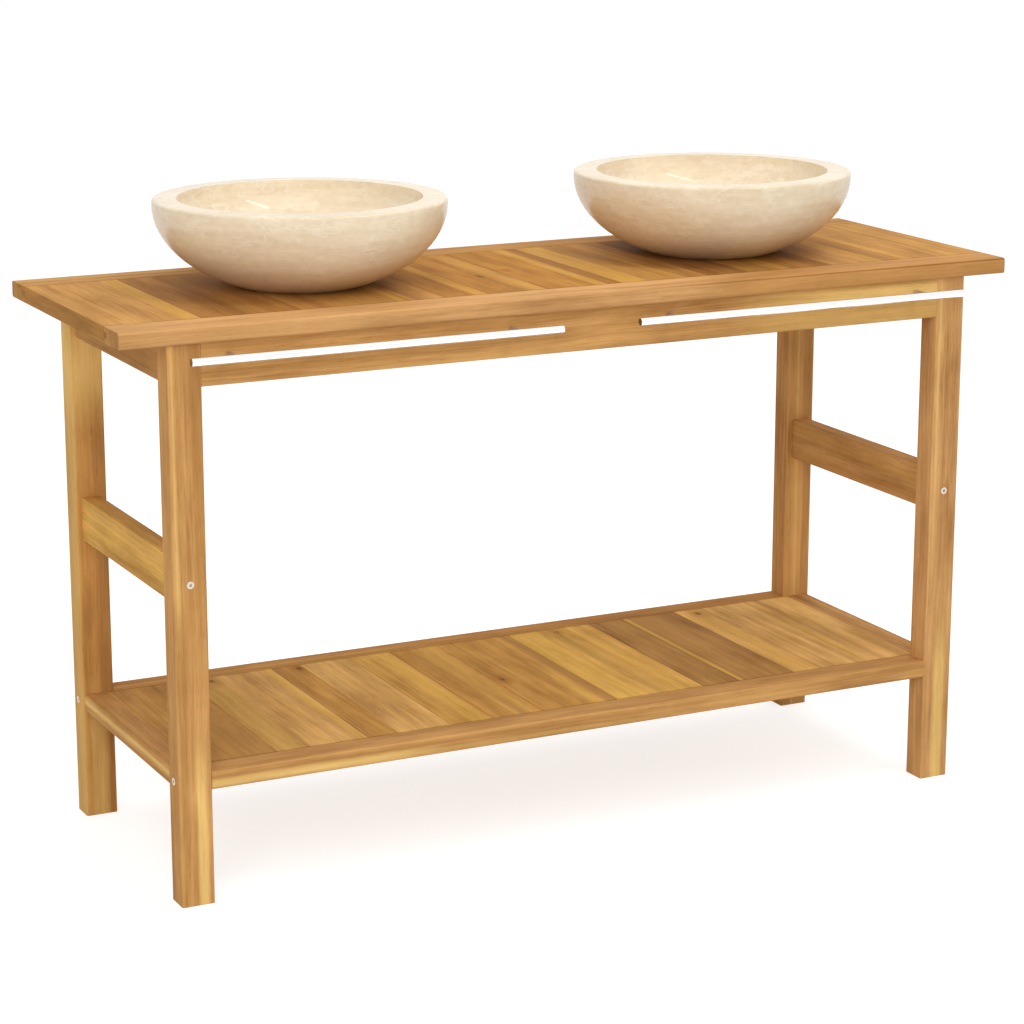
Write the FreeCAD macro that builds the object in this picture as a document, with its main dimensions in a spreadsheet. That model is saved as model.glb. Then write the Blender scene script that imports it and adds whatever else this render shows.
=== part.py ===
import FreeCAD, Part
import os
import re

# A slatted hardwood washstand with two stone bowls, two towel bars and two push-open wastes.
# X runs along the stand, Y from front to back, Z up from the floor. The origin lies on the floor
# under the middle of the whole unit, towel bars included.

# Driving sizes, in millimetres.
SIZES = {
    # slatted top
    "top_length": 1320.0,
    "top_depth": 440.0,
    "top_height": 765.0,
    "top_thickness": 22.0,
    "top_rail_width": 55.0,
    "nosing_radius": 4.0,
    # legs
    "leg_width": 45.0,
    "leg_depth": 38.0,
    "leg_end_setback": 64.0,
    "leg_setback": 6.0,
    "edge_radius": 2.0,
    # aprons under the top
    "apron_height": 56.0,
    "apron_thickness": 22.0,
    "apron_setback": 1.0,
    "side_apron_setback": 9.0,
    # stretchers between front and back legs
    "stretcher_height": 60.0,
    "stretcher_thickness": 28.0,
    "stretcher_middle_height": 433.0,
    # slatted shelf
    "shelf_height": 180.0,
    "shelf_thickness": 24.0,
    "shelf_end_width": 36.0,
    "shelf_end_setback": 3.0,
    # tenons, tongues and eased boards
    "tenon_length": 20.0,
    "tenon_thickness": 9.0,
    "tenon_shoulder": 8.0,
    "mortise_wall": 3.0,
    "tongue_length": 9.0,
    "tongue_thickness": 8.0,
    "board_easing": 0.6,
    "joint_clearance": 0.1,
    # bolts and barrel nuts that hold the stretchers and the shelf
    "bolt_diameter": 6.0,
    "bolt_tip": 3.2,
    "bolt_head_diameter": 10.0,
    "bolt_head_height": 5.0,
    "bolt_head_proud": 0.8,
    "bolt_socket_diameter": 4.6,
    "bolt_socket_depth": 3.0,
    "bolt_clearance": 0.3,
    "bolt_end_play": 3.0,
    "barrel_nut_diameter": 10.0,
    "barrel_nut_length": 16.0,
    "barrel_nut_setback": 28.0,
    # screws up through the aprons into the top
    "screw_diameter": 4.5,
    "screw_length": 34.0,
    "screw_bite": 14.0,
    "screw_head_diameter": 8.5,
    "screw_head_height": 2.5,
    # towel bars on their posts
    "bar_diameter": 11.0,
    "bar_gap": 114.0,
    "bar_end_overrun": 24.0,
    "bar_drop": 18.0,
    "bar_standoff": 30.0,
    "bar_end_radius": 1.5,
    "post_diameter": 9.0,
    "post_inset": 61.0,
    "post_saddle_gap": 0.05,
    "post_screw_diameter": 5.0,
    "post_screw_bite": 12.0,
    "post_screw_head_diameter": 9.0,
    "post_screw_head_height": 3.0,
    # stone bowls
    "basin_radius": 198.0,
    "basin_height": 118.0,
    "basin_rim_drop": 8.0,
    "basin_foot_radius": 82.5,
    "basin_rim_width": 33.0,
    "basin_floor": 25.0,
    "basin_edge_radius": 4.0,
    "basin_spacing": 636.0,
    "basin_offset": 22.0,
    "basin_hole_play": 1.5,
    # wastes: body, seals, washer and lock nut
    "top_hole_play": 3.0,
    "flange_diameter": 63.0,
    "flange_thickness": 3.0,
    "flange_recess_depth": 2.0,
    "flange_recess_play": 1.0,
    "flange_seal_thickness": 2.0,
    "tail_diameter": 41.9,
    "tail_wall": 2.6,
    "tail_length": 98.0,
    "spigot_length": 36.0,
    "thread_depth": 0.95,
    "thread_clearance": 0.1,
    "washer_diameter": 64.0,
    "washer_thickness": 3.0,
    "lock_nut_wall": 5.0,
    "lock_nut_thickness": 9.0,
    "spider_drop": 30.0,
    "spider_height": 6.0,
    "spider_width": 4.0,
    "spider_boss_margin": 1.0,
    # push-open plugs and the guides that their stems slide in
    "guide_wall": 2.45,
    "guide_height": 20.0,
    "stem_diameter": 7.0,
    "stem_clearance": 0.05,
    "stem_toe_height": 4.0,
    "plug_diameter": 62.0,
    "plug_thickness": 4.0,
    "plug_edge_radius": 2.0,
    "plug_seal_setback": 3.0,
    "plug_seal_width": 5.0,
    "plug_seal_thickness": 1.5,
    "plug_seat_gap": 0.2,
    # how far a cutter runs past the face that it opens
    "cut_overrun": 5.0,
}

# Places and sizes that follow from the driving sizes, each from those above it.
PLACES = {
    "leg_x": "top_length / 2 - leg_end_setback - leg_width / 2",
    "leg_y": "top_depth / 2 - leg_setback - leg_depth / 2",
    "rail_span": "2 * leg_x - leg_width",
    "side_span": "2 * leg_y - leg_depth",
    "top_underside": "top_height - top_thickness",
    "top_middle_height": "top_height - top_thickness / 2",
    "top_rail_y": "(top_depth - top_rail_width) / 2",
    "top_board_length": "top_depth - 2 * top_rail_width",
    "apron_face_y": "leg_y + leg_depth / 2 - apron_setback",
    "apron_y": "apron_face_y - apron_thickness / 2",
    "apron_middle_height": "top_underside - apron_height / 2",
    "apron_tenon_height": "apron_height - 2 * tenon_shoulder",
    "side_apron_x": "leg_x + leg_width / 2 - side_apron_setback - apron_thickness / 2",
    "side_tenon_length": "apron_y - tenon_thickness / 2 - side_span / 2 - mortise_wall",
    "shelf_middle_height": "shelf_height - shelf_thickness / 2",
    "shelf_end_x": "leg_x + leg_width / 2 - shelf_end_setback - shelf_end_width / 2",
    "shelf_board_span": "2 * shelf_end_x - shelf_end_width",
    "bolt_seat_depth": "bolt_head_height - bolt_head_proud",
    "bolt_reach": "barrel_nut_setback + barrel_nut_diameter / 2 + bolt_tip",
    "bolt_length": "leg_depth - bolt_seat_depth + bolt_reach",
    "shelf_bolt_reach": "bolt_length + bolt_seat_depth - leg_width",
    "shelf_nut_setback": "shelf_bolt_reach - bolt_tip - barrel_nut_diameter / 2",
    "screw_seat_height": "top_underside - screw_length + screw_bite",
    "bar_reach": "apron_face_y + bar_standoff + bar_diameter / 2 - top_depth / 2",
    "middle_y": "bar_reach / 2",
    "bar_length": "(rail_span - bar_gap) / 2 + bar_end_overrun",
    "bar_x": "(bar_gap + bar_length) / 2",
    "bar_y": "apron_face_y + bar_standoff",
    "bar_height": "top_underside - bar_drop",
    "post_screw_length": "apron_thickness + post_screw_bite",
    "basin_belly_height": "basin_height - basin_rim_drop",
    "basin_belly_depth": "basin_belly_height / sqrt(1 - (basin_foot_radius / basin_radius)^2)",
    "basin_hole_diameter": "tail_diameter + 2 * basin_hole_play",
    "top_hole_diameter": "tail_diameter + 2 * top_hole_play",
    "tail_bore_diameter": "tail_diameter - 2 * tail_wall",
    "tail_hole_diameter": "tail_diameter + 2 * thread_clearance",
    "spigot_diameter": "tail_diameter - 2 * thread_depth",
    "lock_nut_diameter": "(tail_hole_diameter + 2 * lock_nut_wall) / cos(30)",
    "washer_underside": "top_underside - washer_thickness",
    "lock_nut_underside": "washer_underside - lock_nut_thickness",
    "recess_height": "top_height + basin_floor - flange_recess_depth",
    "flange_underside": "recess_height + flange_seal_thickness",
    "flange_height": "flange_underside + flange_thickness",
    "tail_end_height": "flange_underside - tail_length",
    "spider_top": "flange_height - spider_drop",
    "guide_bore_diameter": "stem_diameter + 2 * stem_clearance",
    "guide_diameter": "guide_bore_diameter + 2 * guide_wall",
    "plug_seal_height": "flange_height + plug_seat_gap",
    "plug_seal_diameter": "plug_diameter - 2 * plug_seal_setback",
    "plug_underside": "plug_seal_height + plug_seal_thickness",
    "stem_length": "plug_underside - spider_top - stem_toe_height",
}

# Joints between the boards of the top, as shares of three spans: from the left end to the left bowl's axis,
# from there to the right bowl's axis, and on to the right end. Each bowl's axis lies within one board.
TOP_JOINT_SHARES = (
    (0.38, 0.772),
    (0.1195, 0.203, 0.302, 0.437, 0.6115, 0.827, 0.928),
    (0.105, 0.2575, 0.5965),
)
# Joints between the boards of the shelf, as shares of the width that they fill, from the left.
SHELF_JOINT_SHARES = (0.101, 0.219, 0.258, 0.329, 0.386, 0.455, 0.559, 0.683, 0.735, 0.817, 0.927)
# Screws along a long apron, as shares of the apron's length from its middle.
SCREW_SHARES = (-0.38, -0.2, 0.2, 0.38)

SIDES = (("left", -1), ("right", 1))
ENDS = (("front", -1), ("back", 1))

# Turns that lay a cylinder, made along +Z, along another direction.
TURNS = {
    "+z": FreeCAD.Rotation(),
    "+x": FreeCAD.Rotation(FreeCAD.Vector(0, 1, 0), 90),
    "-x": FreeCAD.Rotation(FreeCAD.Vector(0, 1, 0), -90),
    "+y": FreeCAD.Rotation(FreeCAD.Vector(1, 0, 0), -90),
    "-y": FreeCAD.Rotation(FreeCAD.Vector(1, 0, 0), 90),
}

doc = FreeCAD.newDocument("double_vanity")
subparts = []


def qualify(formula):
    """Put the name of its sheet before each size or place in a formula."""

    def sheet_name(match):
        word = match.group()
        if word in SIZES:
            return "sizes." + word
        return "places." + word if word in PLACES else word

    return re.sub(r"[a-z][a-z_]*", sheet_name, str(formula))


def fill_sheet(name, cells):
    sheet = doc.addObject("Spreadsheet::Sheet", name)
    for row, (alias, content) in enumerate(cells.items(), start=1):
        sheet.set("A%d" % row, alias)
        sheet.set("B%d" % row, content)
        sheet.setAlias("B%d" % row, alias)
    doc.recompute()
    return sheet


def bind(item, prop, formula):
    item.setExpression(prop, qualify(formula))


def locate(item, place):
    for axis, formula in zip("xyz", place):
        bind(item, "Placement.Base." + axis, formula)


def body(label, place):
    """A piece with its own origin at the given place."""
    piece = doc.addObject("PartDesign::Body", label)
    piece.Label = label
    locate(piece, place)
    return piece


def hand_in(piece):
    subparts.append(piece)
    return piece


def group(label, pieces):
    """Identical fasteners and fittings as one sub-part of separate solids."""
    together = doc.addObject("Part::Compound", label)
    together.Label = label
    together.Links = pieces
    return hand_in(together)


def block(piece, kind, name, centre, size):
    """Add or cut a box given by its centre and size."""
    item = piece.newObject("PartDesign::%sBox" % kind, name)
    for prop, length in zip(("Length", "Width", "Height"), size):
        bind(item, prop, length)
    locate(item, ["(%s) - (%s) / 2" % pair for pair in zip(centre, size)])
    return item


def round_bar(piece, kind, name, start, direction, diameter, length):
    """Add or cut a cylinder that runs from its start in the given direction."""
    item = piece.newObject("PartDesign::%sCylinder" % kind, name)
    bind(item, "Radius", "(%s) / 2" % diameter)
    bind(item, "Height", length)
    item.Placement = FreeCAD.Placement(FreeCAD.Vector(), TURNS[direction])
    locate(item, start)
    return item


def soften(piece, kind, base, size, wanted):
    """Fillet or chamfer the edges of a feature that the test wants."""
    doc.recompute()
    edges = ["Edge%d" % number for number, edge in enumerate(base.Shape.Edges, start=1) if wanted(edge)]
    item = piece.newObject("PartDesign::" + kind, piece.Name + "_" + kind.lower())
    item.Base = (base, edges)
    bind(item, "Radius" if kind == "Fillet" else "Size", size)
    return item


def runs_along(axis):
    """A test for straight edges parallel to an axis."""

    def wanted(edge):
        if edge.Curve.TypeId != "Part::GeomLine":
            return False
        return abs(getattr(edge.Curve.Direction, axis)) > 0.5

    return wanted


def value(name):
    return float((sizes if name in SIZES else places).get(name))


sizes = fill_sheet("sizes", {alias: str(number) for alias, number in SIZES.items()})
places = fill_sheet("places", {alias: "=" + qualify(formula).replace("places.", "")
                               for alias, formula in PLACES.items()})


def bolt_hole(piece, use, mouth, inward, depth):
    """A hole through a leg for a bolt, with a wider mouth for its head."""
    name = "%s_%s_bolt" % (piece.Name, use)
    round_bar(piece, "Subtractive", name + "_hole", mouth, inward, "bolt_diameter + 2 * bolt_clearance", depth)
    round_bar(piece, "Subtractive", name + "_mouth", mouth, inward,
              "bolt_head_diameter + 2 * joint_clearance", "bolt_seat_depth")


def nut_holes(piece, use, end_face, inward, reach, nut_place, height):
    """A blind hole for a bolt in the end of a rail, and one from below for its barrel nut."""
    name = "%s_%s" % (piece.Name, use)
    round_bar(piece, "Subtractive", name + "_bolt_hole", end_face, inward,
              "bolt_diameter + 2 * bolt_clearance", "%s + bolt_end_play" % reach)
    round_bar(piece, "Subtractive", name + "_nut_hole", nut_place, "+z",
              "barrel_nut_diameter + 2 * joint_clearance",
              "(%s + barrel_nut_length) / 2 + joint_clearance" % height)


def leg(side_name, side, end_name, end):
    """A leg with mortises for two aprons, and holes for a stretcher's bolt and a shelf bolt."""
    name = "leg_%s_%s" % (end_name, side_name)
    piece = body(name, ("%d * leg_x" % side, "middle_y + %d * leg_y" % end, "0"))
    stock = block(piece, "Additive", name + "_stock", ("0", "0", "top_underside / 2"),
                  ("leg_width", "leg_depth", "top_underside"))
    soften(piece, "Fillet", stock, "edge_radius", runs_along("z"))
    inward_x = "%d * (leg_width - tenon_length - joint_clearance) / 2" % -side
    slot = "tenon_thickness + 2 * joint_clearance"
    deep = "%s + joint_clearance"
    block(piece, "Subtractive", name + "_apron_mortise",
          (inward_x, "%d * (apron_y - leg_y)" % end, "apron_middle_height"),
          (deep % "tenon_length", slot, "apron_tenon_height + 2 * joint_clearance"))
    block(piece, "Subtractive", name + "_side_apron_mortise",
          ("%d * (side_apron_x - leg_x)" % side,
           "%d * (leg_depth - side_tenon_length - joint_clearance) / 2" % -end, "apron_middle_height"),
          (slot, deep % "side_tenon_length", "apron_tenon_height + 2 * joint_clearance"))
    bolt_hole(piece, "stretcher", ("0", "%d * leg_depth / 2" % end, "stretcher_middle_height"),
              "+y" if end < 0 else "-y", "leg_depth")
    bolt_hole(piece, "shelf", ("%d * leg_width / 2" % side, "0", "shelf_middle_height"),
              "+x" if side < 0 else "-x", "leg_width")
    return hand_in(piece)


def post_places():
    """Distances of the towel bar posts from the middle of the front apron."""
    inset = "(bar_length / 2 - post_inset)"
    return ["%d * bar_x + %d * %s" % (side, way, inset) for name, side in SIDES for way in (-1, 1)]


def long_apron(end_name, end):
    """The apron between two legs under the front or back of the top."""
    name = "apron_" + end_name
    piece = body(name, ("0", "middle_y + %d * apron_y" % end, "apron_middle_height"))
    stock = block(piece, "Additive", name + "_stock", ("0", "0", "0"),
                  ("rail_span", "apron_thickness", "apron_height"))
    along = runs_along("x")
    soften(piece, "Fillet", stock, "edge_radius", lambda edge: along(edge) and edge.CenterOfMass.z < 0)
    for side_name, side in SIDES:
        block(piece, "Additive", "%s_tenon_%s" % (name, side_name),
              ("%d * (rail_span + tenon_length) / 2" % side, "0", "0"),
              ("tenon_length", "tenon_thickness", "apron_tenon_height"))
    for number, share in enumerate(SCREW_SHARES, start=1):
        mouth = ("%s * rail_span" % share, "0", "-apron_height / 2")
        round_bar(piece, "Subtractive", "%s_screw_hole_%d" % (name, number), mouth, "+z",
                  "screw_diameter + 2 * joint_clearance", "apron_height")
        round_bar(piece, "Subtractive", "%s_screw_well_%d" % (name, number), mouth, "+z",
                  "screw_head_diameter + 2 * joint_clearance",
                  "screw_seat_height - apron_middle_height + apron_height / 2")
    if end < 0:
        for number, x in enumerate(post_places(), start=1):
            round_bar(piece, "Subtractive", "%s_post_hole_%d" % (name, number),
                      (x, "-apron_thickness / 2", "bar_height - apron_middle_height"), "+y",
                      "post_screw_diameter + 2 * joint_clearance", "apron_thickness")
    return hand_in(piece)


def side_apron(side_name, side):
    """The apron between a front and a back leg."""
    name = "apron_" + side_name
    piece = body(name, ("%d * side_apron_x" % side, "middle_y", "apron_middle_height"))
    stock = block(piece, "Additive", name + "_stock", ("0", "0", "0"),
                  ("apron_thickness", "side_span", "apron_height"))
    along = runs_along("y")
    soften(piece, "Fillet", stock, "edge_radius", lambda edge: along(edge) and edge.CenterOfMass.z < 0)
    for end_name, end in ENDS:
        block(piece, "Additive", "%s_tenon_%s" % (name, end_name),
              ("0", "%d * (side_span + side_tenon_length) / 2" % end, "0"),
              ("tenon_thickness", "side_tenon_length", "apron_tenon_height"))
    return hand_in(piece)


def stretcher(side_name, side):
    """The rail half-way up between a front and a back leg, bored for its bolts and barrel nuts."""
    name = "stretcher_" + side_name
    piece = body(name, ("%d * leg_x" % side, "middle_y", "stretcher_middle_height"))
    stock = block(piece, "Additive", name + "_stock", ("0", "0", "0"),
                  ("stretcher_thickness", "side_span", "stretcher_height"))
    soften(piece, "Fillet", stock, "edge_radius", runs_along("y"))
    for end_name, end in ENDS:
        nut_holes(piece, end_name, ("0", "%d * side_span / 2" % end, "0"), "+y" if end < 0 else "-y",
                  "bolt_reach",
                  ("0", "%d * (side_span / 2 - barrel_nut_setback)" % end, "-stretcher_height / 2"),
                  "stretcher_height")
    return hand_in(piece)


def groove(piece, name, end, depth, length):
    """A groove along the inner face of a long rail, for the boards' tongues."""
    block(piece, "Subtractive", name + "_groove",
          ("0", "%d * (%s - tongue_length - joint_clearance) / 2" % (-end, depth), "0"),
          (length, "tongue_length + joint_clearance", "tongue_thickness + 2 * joint_clearance"))


def top_rail(end_name, end):
    """The full-length front or back rail of the top, with a rounded outer edge."""
    name = "top_rail_" + end_name
    piece = body(name, ("0", "middle_y + %d * top_rail_y" % end, "top_middle_height"))
    stock = block(piece, "Additive", name + "_stock", ("0", "0", "0"),
                  ("top_length", "top_rail_width", "top_thickness"))
    along = runs_along("x")
    soften(piece, "Fillet", stock, "nosing_radius", lambda edge: along(edge) and edge.CenterOfMass.y * end > 0)
    groove(piece, name, end, "top_rail_width", "top_length")
    for number, share in enumerate(SCREW_SHARES, start=1):
        round_bar(piece, "Subtractive", "%s_screw_hole_%d" % (name, number),
                  ("%s * rail_span" % share, "%d * (apron_y - top_rail_y)" % end, "-top_thickness / 2"), "+z",
                  "screw_diameter + 2 * joint_clearance", "screw_bite + joint_clearance")
    return hand_in(piece)


def shelf_rail(end_name, end):
    """The rail between two legs along the front or back of the shelf, bored for its bolts and nuts."""
    name = "shelf_rail_" + end_name
    piece = body(name, ("0", "middle_y + %d * leg_y" % end, "shelf_middle_height"))
    stock = block(piece, "Additive", name + "_stock", ("0", "0", "0"),
                  ("rail_span", "leg_depth", "shelf_thickness"))
    along = runs_along("x")
    soften(piece, "Fillet", stock, "edge_radius", lambda edge: along(edge) and edge.CenterOfMass.y * end > 0)
    groove(piece, name, end, "leg_depth", "rail_span")
    for side_name, side in SIDES:
        nut_holes(piece, side_name, ("%d * rail_span / 2" % side, "0", "0"), "+x" if side < 0 else "-x",
                  "shelf_bolt_reach",
                  ("%d * (rail_span / 2 - shelf_nut_setback)" % side, "0", "-shelf_thickness / 2"),
                  "shelf_thickness")
    return hand_in(piece)


def shelf_end_rail(side_name, side):
    """The rail between a front and a back leg, glued along the last board of the shelf."""
    name = "shelf_rail_" + side_name
    piece = body(name, ("%d * shelf_end_x" % side, "middle_y", "shelf_middle_height"))
    stock = block(piece, "Additive", name + "_stock", ("0", "0", "0"),
                  ("shelf_end_width", "side_span", "shelf_thickness"))
    along = runs_along("y")
    soften(piece, "Fillet", stock, "edge_radius", lambda edge: along(edge) and edge.CenterOfMass.x * side > 0)
    return hand_in(piece)


def spread(shares, start, end):
    """Places at shares of the way from one place to another."""
    return ["%s + %s * (%s - %s)" % (start, share, end, start) for share in shares]


def boards(name, joints, span, length, height, thickness, groove_span):
    """Boards side by side from left to right, with a tongue at each end and eased upper edges."""
    edges = ["-%s / 2" % span] + joints + ["%s / 2" % span]
    pieces = []
    for number, (left, right) in enumerate(zip(edges, edges[1:]), start=1):
        label = "%s_%02d" % (name, number)
        middle = "(%s + %s) / 2" % (left, right)
        piece = body(label, (middle, "middle_y", "%s - %s / 2" % (height, thickness)))
        stock = block(piece, "Additive", label + "_stock", ("0", "0", "0"),
                      ("%s - (%s)" % (right, left), length, thickness))
        along = runs_along("y")
        soften(piece, "Chamfer", stock, "board_easing", lambda edge: along(edge) and edge.CenterOfMass.z > 0)
        tongue_left = "max(%s; -%s / 2)" % (left, groove_span)
        tongue_right = "min(%s; %s / 2)" % (right, groove_span)
        for end_name, end in ENDS:
            block(piece, "Additive", "%s_tongue_%s" % (label, end_name),
                  ("(%s + %s) / 2 - %s" % (tongue_left, tongue_right, middle),
                   "%d * (%s + tongue_length) / 2" % (end, length), "0"),
                  ("%s - %s" % (tongue_right, tongue_left), "tongue_length", "tongue_thickness"))
        pieces.append((hand_in(piece), middle))
    return pieces


def top_boards():
    """The boards of the top, with a hole for a waste in each of the two that cross a bowl's axis."""
    ends = ("-top_length / 2", "-basin_spacing / 2", "basin_spacing / 2", "top_length / 2")
    joints = []
    bored = []
    for shares, start, end in zip(TOP_JOINT_SHARES, ends, ends[1:]):
        joints += spread(shares, start, end)
        bored.append(len(joints))
    pieces = boards("top_board", joints, "top_length", "top_board_length", "top_height", "top_thickness",
                    "top_length")
    for (side_name, side), number in zip(SIDES, bored):
        piece, middle = pieces[number]
        round_bar(piece, "Subtractive", piece.Name + "_drain_hole",
                  ("%d * basin_spacing / 2 - %s" % (side, middle), "basin_offset", "-top_thickness / 2"), "+z",
                  "top_hole_diameter", "top_thickness")


def basin(side_name, side):
    """A thick-walled round bowl: a flattened belly cut level at base and rim, hollowed and bored."""
    name = "basin_" + side_name
    piece = body(name, ("%d * basin_spacing / 2" % side, "middle_y + basin_offset", "top_height"))
    outside = piece.newObject("PartDesign::AdditiveEllipsoid", name + "_outside")
    bind(outside, "Radius1", "basin_belly_depth")
    bind(outside, "Radius2", "basin_radius")
    bind(outside, "Radius3", "basin_radius")
    locate(outside, ("0", "0", "basin_belly_height"))
    wide = "2 * basin_radius + 2 * cut_overrun"
    block(piece, "Subtractive", name + "_base_cut", ("0", "0", "-basin_belly_depth / 2"),
          (wide, wide, "basin_belly_depth"))
    block(piece, "Subtractive", name + "_rim_cut", ("0", "0", "basin_height + basin_belly_depth / 2"),
          (wide, wide, "basin_belly_depth"))
    inside = piece.newObject("PartDesign::SubtractiveEllipsoid", name + "_inside")
    bind(inside, "Radius1", "basin_height - basin_floor")
    bind(inside, "Radius2", "basin_radius - basin_rim_width")
    bind(inside, "Radius3", "basin_radius - basin_rim_width")
    locate(inside, ("0", "0", "basin_height"))
    soften(piece, "Fillet", inside, "basin_edge_radius", lambda edge: all(
        abs(vertex.Z - value("basin_height")) < value("joint_clearance") for vertex in edge.Vertexes))
    round_bar(piece, "Subtractive", name + "_waste_hole", ("0", "0", "-cut_overrun"), "+z",
              "basin_hole_diameter", "basin_height")
    round_bar(piece, "Subtractive", name + "_flange_recess",
              ("0", "0", "basin_floor - flange_recess_depth"), "+z",
              "flange_diameter + 2 * flange_recess_play", "basin_height - basin_floor")
    return hand_in(piece)


def towel_bar(side_name, side):
    """A straight steel bar with eased ends."""
    name = "towel_bar_" + side_name
    piece = body(name, ("%d * bar_x" % side, "middle_y - bar_y", "bar_height"))
    stock = round_bar(piece, "Additive", name + "_stock", ("-bar_length / 2", "0", "0"), "+x",
                      "bar_diameter", "bar_length")
    soften(piece, "Fillet", stock, "bar_end_radius", lambda edge: edge.Curve.TypeId == "Part::GeomCircle")
    return hand_in(piece)


def towel_bar_posts():
    """Posts from the apron to the bars, each with a saddle behind the bar."""
    pieces = []
    for number, x in enumerate(post_places(), start=1):
        name = "towel_bar_post_%d" % number
        piece = body(name, (x, "middle_y - apron_face_y", "bar_height"))
        round_bar(piece, "Additive", name + "_shaft", ("0", "0", "0"), "-y", "post_diameter", "bar_standoff")
        round_bar(piece, "Subtractive", name + "_saddle", ("-post_diameter", "-bar_standoff", "0"), "+x",
                  "bar_diameter + 2 * post_saddle_gap", "2 * post_diameter")
        round_bar(piece, "Subtractive", name + "_screw_hole", ("0", "0", "0"), "-y",
                  "post_screw_diameter + 2 * joint_clearance", "post_screw_bite + joint_clearance")
        pieces.append(piece)
    return group("towel_bar_posts", pieces)


def towel_post_screws():
    """Screws from behind the front apron into the posts."""
    pieces = []
    for number, x in enumerate(post_places(), start=1):
        name = "towel_post_screw_%d" % number
        piece = body(name, (x, "middle_y - apron_face_y + apron_thickness", "bar_height"))
        round_bar(piece, "Additive", name + "_shank", ("0", "0", "0"), "-y",
                  "post_screw_diameter", "post_screw_length")
        round_bar(piece, "Additive", name + "_head", ("0", "0", "0"), "+y",
                  "post_screw_head_diameter", "post_screw_head_height")
        pieces.append(piece)
    return group("towel_post_screws", pieces)


def top_screws():
    """Screws from wells in the long aprons up into the rails of the top."""
    pieces = []
    for end_name, end in ENDS:
        for number, share in enumerate(SCREW_SHARES, start=1):
            name = "top_screw_%s_%d" % (end_name, number)
            y = "middle_y + %d * apron_y" % end
            piece = body(name, ("%s * rail_span" % share, y, "screw_seat_height"))
            round_bar(piece, "Additive", name + "_shank", ("0", "0", "0"), "+z",
                      "screw_diameter", "screw_length")
            round_bar(piece, "Additive", name + "_head", ("0", "0", "-screw_head_height"), "+z",
                      "screw_head_diameter", "screw_head_height")
            pieces.append(piece)
    return group("top_screws", pieces)


def bolt(name, seat, inward, outward, socket_mouth):
    """A socket-head bolt whose head seats at its origin."""
    piece = body(name, seat)
    round_bar(piece, "Additive", name + "_shank", ("0", "0", "0"), inward, "bolt_diameter", "bolt_length")
    round_bar(piece, "Additive", name + "_head", ("0", "0", "0"), outward,
              "bolt_head_diameter", "bolt_head_height")
    socket = piece.newObject("PartDesign::SubtractivePrism", name + "_socket")
    socket.Polygon = 6
    bind(socket, "Circumradius", "bolt_socket_diameter / 2")
    bind(socket, "Height", "bolt_socket_depth")
    socket.Placement = FreeCAD.Placement(FreeCAD.Vector(), TURNS[inward])
    locate(socket, socket_mouth)
    return piece


def frame_bolts():
    """Bolts from the fronts and backs of the legs into the stretchers, and from their sides into the shelf."""
    pieces = []
    for side_name, side in SIDES:
        for end_name, end in ENDS:
            place = "_%s_%s" % (end_name, side_name)
            y_seat = "middle_y + %d * (leg_y + leg_depth / 2 - bolt_seat_depth)" % end
            inward, outward = ("+y", "-y") if end < 0 else ("-y", "+y")
            pieces.append(bolt("stretcher_bolt" + place,
                               ("%d * leg_x" % side, y_seat, "stretcher_middle_height"),
                               inward, outward, ("0", "%d * bolt_head_height" % end, "0")))
            x_seat = "%d * (leg_x + leg_width / 2 - bolt_seat_depth)" % side
            inward, outward = ("+x", "-x") if side < 0 else ("-x", "+x")
            pieces.append(bolt("shelf_bolt" + place,
                               (x_seat, "middle_y + %d * leg_y" % end, "shelf_middle_height"),
                               inward, outward, ("%d * bolt_head_height" % side, "0", "0")))
    return group("frame_bolts", pieces)


def barrel_nut(name, place, direction, thread_start):
    """A cross dowel with a hole for its bolt."""
    piece = body(name, place)
    round_bar(piece, "Additive", name + "_barrel", ("0", "0", "-barrel_nut_length / 2"), "+z",
              "barrel_nut_diameter", "barrel_nut_length")
    round_bar(piece, "Subtractive", name + "_thread", thread_start, direction,
              "bolt_diameter + 2 * thread_clearance", "2 * barrel_nut_diameter")
    return piece


def barrel_nuts():
    """Cross dowels in the stretchers and the shelf rails, each threaded on a bolt."""
    pieces = []
    for side_name, side in SIDES:
        for end_name, end in ENDS:
            place = "_%s_%s" % (end_name, side_name)
            y = "middle_y + %d * (side_span / 2 - barrel_nut_setback)" % end
            pieces.append(barrel_nut("stretcher_nut" + place,
                                     ("%d * leg_x" % side, y, "stretcher_middle_height"),
                                     "+y", ("0", "-barrel_nut_diameter", "0")))
            x = "%d * (rail_span / 2 - shelf_nut_setback)" % side
            pieces.append(barrel_nut("shelf_nut" + place,
                                     (x, "middle_y + %d * leg_y" % end, "shelf_middle_height"),
                                     "+x", ("-barrel_nut_diameter", "0", "0")))
    return group("barrel_nuts", pieces)


def waste_axis(side, height):
    return ("%d * basin_spacing / 2" % side, "middle_y + basin_offset", height)


def ring(name, side, height, outer, inner, thickness):
    """A flat ring on the axis of a waste."""
    piece = body(name, waste_axis(side, height))
    round_bar(piece, "Additive", name + "_disc", ("0", "0", "0"), "+z", outer, thickness)
    round_bar(piece, "Subtractive", name + "_bore", ("0", "0", "-cut_overrun"), "+z", inner,
              "%s + 2 * cut_overrun" % thickness)
    return piece


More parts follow.
